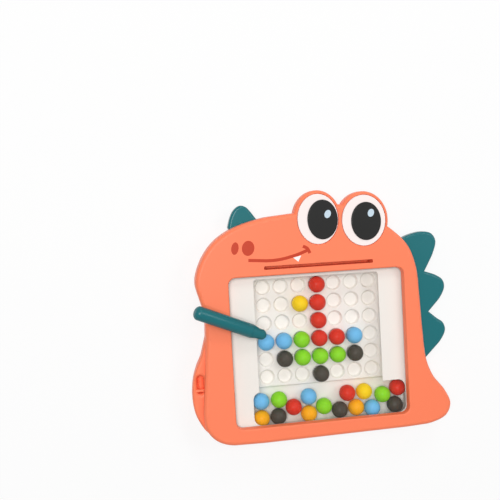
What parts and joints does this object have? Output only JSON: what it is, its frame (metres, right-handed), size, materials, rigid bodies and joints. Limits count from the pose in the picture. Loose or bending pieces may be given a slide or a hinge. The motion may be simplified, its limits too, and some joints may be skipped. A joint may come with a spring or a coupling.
{
  "type": "magnetic drawing board",
  "caption": "Toy magnetic drawing board in the outline of a dinosaur's head, with loose coloured beads under a clear window, a grid of dimples to lift them into, and a magnet-tipped pen.",
  "frame": {"origin": "middle of the case's footprint, on its rear face", "axes": "+Z out of the window, +Y towards the head, +X towards the back fin"},
  "size_m": [0.1888, 0.174, 0.0412],
  "materials": {
    "coral_plastic": "moulded satin, fine even grain",
    "teal_plastic": "moulded satin",
    "tray_plastic": "moulded satin, warm white",
    "clear_sheet": "clear polished sheet",
    "eye_white": "gloss, faintly pink white",
    "pupil_black": "gloss",
    "eye_glint": "printed gloss, pale blue",
    "face_print": "printed, dark coral",
    "tooth_print": "printed, white",
    "bright_steel": "zinc plated",
    "bead_red": "gloss",
    "bead_yellow": "gloss",
    "bead_orange": "gloss",
    "bead_green": "gloss",
    "bead_blue": "gloss",
    "bead_dark": "gloss"
  },
  "bodies": {
    "board": {"back_fin": "teal_plastic", "bead_tray": "tray_plastic", "case_screw_1": "bright_steel", "case_screw_2": "bright_steel", "case_screw_3": "bright_steel", "case_screw_4": "bright_steel", "case_screw_5": "bright_steel", "case_screw_6": "bright_steel", "eye_white_left": "eye_white", "eye_white_right": "eye_white", "front_shell": "coral_plastic", "head_horn": "teal_plastic", "pupil_left": "pupil_black", "pupil_right": "pupil_black", "rear_shell": "coral_plastic", "window_sheet": "clear_sheet"},
    "pen": {"pen_barrel": "teal_plastic", "pen_nose": "teal_plastic", "pen_magnet": "bright_steel"},
    "bead_row1_column4": {"bead_row1_column4_red": "bead_red"},
    "bead_row2_column3": {"bead_row2_column3_yellow": "bead_yellow"},
    "bead_row2_column4": {"bead_row2_column4_red": "bead_red"},
    "bead_row3_column4": {"bead_row3_column4_red": "bead_red"},
    "bead_row4_column1": {"bead_row4_column1_blue": "bead_blue"},
    "bead_row4_column2": {"bead_row4_column2_blue": "bead_blue"},
    "bead_row4_column3": {"bead_row4_column3_green": "bead_green"},
    "bead_row4_column4": {"bead_row4_column4_red": "bead_red"},
    "bead_row4_column5": {"bead_row4_column5_red": "bead_red"},
    "bead_row4_column6": {"bead_row4_column6_blue": "bead_blue"},
    "bead_row5_column2": {"bead_row5_column2_dark": "bead_dark"},
    "bead_row5_column3": {"bead_row5_column3_green": "bead_green"},
    "bead_row5_column4": {"bead_row5_column4_green": "bead_green"},
    "bead_row5_column5": {"bead_row5_column5_green": "bead_green"},
    "bead_row5_column6": {"bead_row5_column6_dark": "bead_dark"},
    "bead_row6_column4": {"bead_row6_column4_dark": "bead_dark"},
    "trough_bead_01": {"trough_bead_01_orange": "bead_orange"},
    "trough_bead_02": {"trough_bead_02_blue": "bead_blue"},
    "trough_bead_03": {"trough_bead_03_dark": "bead_dark"},
    "trough_bead_04": {"trough_bead_04_green": "bead_green"},
    "trough_bead_05": {"trough_bead_05_red": "bead_red"},
    "trough_bead_06": {"trough_bead_06_orange": "bead_orange"},
    "trough_bead_07": {"trough_bead_07_blue": "bead_blue"},
    "trough_bead_08": {"trough_bead_08_green": "bead_green"},
    "trough_bead_09": {"trough_bead_09_dark": "bead_dark"},
    "trough_bead_10": {"trough_bead_10_red": "bead_red"},
    "trough_bead_11": {"trough_bead_11_orange": "bead_orange"},
    "trough_bead_12": {"trough_bead_12_yellow": "bead_yellow"},
    "trough_bead_13": {"trough_bead_13_blue": "bead_blue"},
    "trough_bead_14": {"trough_bead_14_green": "bead_green"},
    "trough_bead_15": {"trough_bead_15_dark": "bead_dark"},
    "trough_bead_16": {"trough_bead_16_red": "bead_red"}
  },
  "joints": [
    {"name": "pen_lift", "type": "slide", "parent": "board", "child": "pen", "axis": [0, 0, 1], "range_m": [0, 0.04]},
    {"name": "bead_row1_column4_lift", "type": "slide", "parent": "board", "child": "bead_row1_column4", "axis": [0, 0, 1], "range_m": [0, 0.0026]},
    {"name": "bead_row2_column3_lift", "type": "slide", "parent": "board", "child": "bead_row2_column3", "axis": [0, 0, 1], "range_m": [0, 0.0026]},
    {"name": "bead_row2_column4_lift", "type": "slide", "parent": "board", "child": "bead_row2_column4", "axis": [0, 0, 1], "range_m": [0, 0.0026]},
    {"name": "bead_row3_column4_lift", "type": "slide", "parent": "board", "child": "bead_row3_column4", "axis": [0, 0, 1], "range_m": [0, 0.0026]},
    {"name": "bead_row4_column1_lift", "type": "slide", "parent": "board", "child": "bead_row4_column1", "axis": [0, 0, 1], "range_m": [0, 0.0026]},
    {"name": "bead_row4_column2_lift", "type": "slide", "parent": "board", "child": "bead_row4_column2", "axis": [0, 0, 1], "range_m": [0, 0.0026]},
    {"name": "bead_row4_column3_lift", "type": "slide", "parent": "board", "child": "bead_row4_column3", "axis": [0, 0, 1], "range_m": [0, 0.0026]},
    {"name": "bead_row4_column4_lift", "type": "slide", "parent": "board", "child": "bead_row4_column4", "axis": [0, 0, 1], "range_m": [0, 0.0026]},
    {"name": "bead_row4_column5_lift", "type": "slide", "parent": "board", "child": "bead_row4_column5", "axis": [0, 0, 1], "range_m": [0, 0.0026]},
    {"name": "bead_row4_column6_lift", "type": "slide", "parent": "board", "child": "bead_row4_column6", "axis": [0, 0, 1], "range_m": [0, 0.0026]},
    {"name": "bead_row5_column2_lift", "type": "slide", "parent": "board", "child": "bead_row5_column2", "axis": [0, 0, 1], "range_m": [0, 0.0026]},
    {"name": "bead_row5_column3_lift", "type": "slide", "parent": "board", "child": "bead_row5_column3", "axis": [0, 0, 1], "range_m": [0, 0.0026]},
    {"name": "bead_row5_column4_lift", "type": "slide", "parent": "board", "child": "bead_row5_column4", "axis": [0, 0, 1], "range_m": [0, 0.0026]},
    {"name": "bead_row5_column5_lift", "type": "slide", "parent": "board", "child": "bead_row5_column5", "axis": [0, 0, 1], "range_m": [0, 0.0026]},
    {"name": "bead_row5_column6_lift", "type": "slide", "parent": "board", "child": "bead_row5_column6", "axis": [0, 0, 1], "range_m": [0, 0.0026]},
    {"name": "bead_row6_column4_lift", "type": "slide", "parent": "board", "child": "bead_row6_column4", "axis": [0, 0, 1], "range_m": [0, 0.0026]},
    {"name": "trough_bead_01_lift", "type": "slide", "parent": "board", "child": "trough_bead_01", "axis": [0, 0, 1], "range_m": [0, 0.0026]},
    {"name": "trough_bead_02_lift", "type": "slide", "parent": "board", "child": "trough_bead_02", "axis": [0, 0, 1], "range_m": [0, 0.0026]},
    {"name": "trough_bead_03_lift", "type": "slide", "parent": "board", "child": "trough_bead_03", "axis": [0, 0, 1], "range_m": [0, 0.0026]},
    {"name": "trough_bead_04_lift", "type": "slide", "parent": "board", "child": "trough_bead_04", "axis": [0, 0, 1], "range_m": [0, 0.0026]},
    {"name": "trough_bead_05_lift", "type": "slide", "parent": "board", "child": "trough_bead_05", "axis": [0, 0, 1], "range_m": [0, 0.0026]},
    {"name": "trough_bead_06_lift", "type": "slide", "parent": "board", "child": "trough_bead_06", "axis": [0, 0, 1], "range_m": [0, 0.0026]},
    {"name": "trough_bead_07_lift", "type": "slide", "parent": "board", "child": "trough_bead_07", "axis": [0, 0, 1], "range_m": [0, 0.0026]},
    {"name": "trough_bead_08_lift", "type": "slide", "parent": "board", "child": "trough_bead_08", "axis": [0, 0, 1], "range_m": [0, 0.0026]},
    {"name": "trough_bead_09_lift", "type": "slide", "parent": "board", "child": "trough_bead_09", "axis": [0, 0, 1], "range_m": [0, 0.0026]},
    {"name": "trough_bead_10_lift", "type": "slide", "parent": "board", "child": "trough_bead_10", "axis": [0, 0, 1], "range_m": [0, 0.0026]},
    {"name": "trough_bead_11_lift", "type": "slide", "parent": "board", "child": "trough_bead_11", "axis": [0, 0, 1], "range_m": [0, 0.0026]},
    {"name": "trough_bead_12_lift", "type": "slide", "parent": "board", "child": "trough_bead_12", "axis": [0, 0, 1], "range_m": [0, 0.0026]},
    {"name": "trough_bead_13_lift", "type": "slide", "parent": "board", "child": "trough_bead_13", "axis": [0, 0, 1], "range_m": [0, 0.0026]},
    {"name": "trough_bead_14_lift", "type": "slide", "parent": "board", "child": "trough_bead_14", "axis": [0, 0, 1], "range_m": [0, 0.0026]},
    {"name": "trough_bead_15_lift", "type": "slide", "parent": "board", "child": "trough_bead_15", "axis": [0, 0, 1], "range_m": [0, 0.0026]},
    {"name": "trough_bead_16_lift", "type": "slide", "parent": "board", "child": "trough_bead_16", "axis": [0, 0, 1], "range_m": [0, 0.0026]}
  ]
}
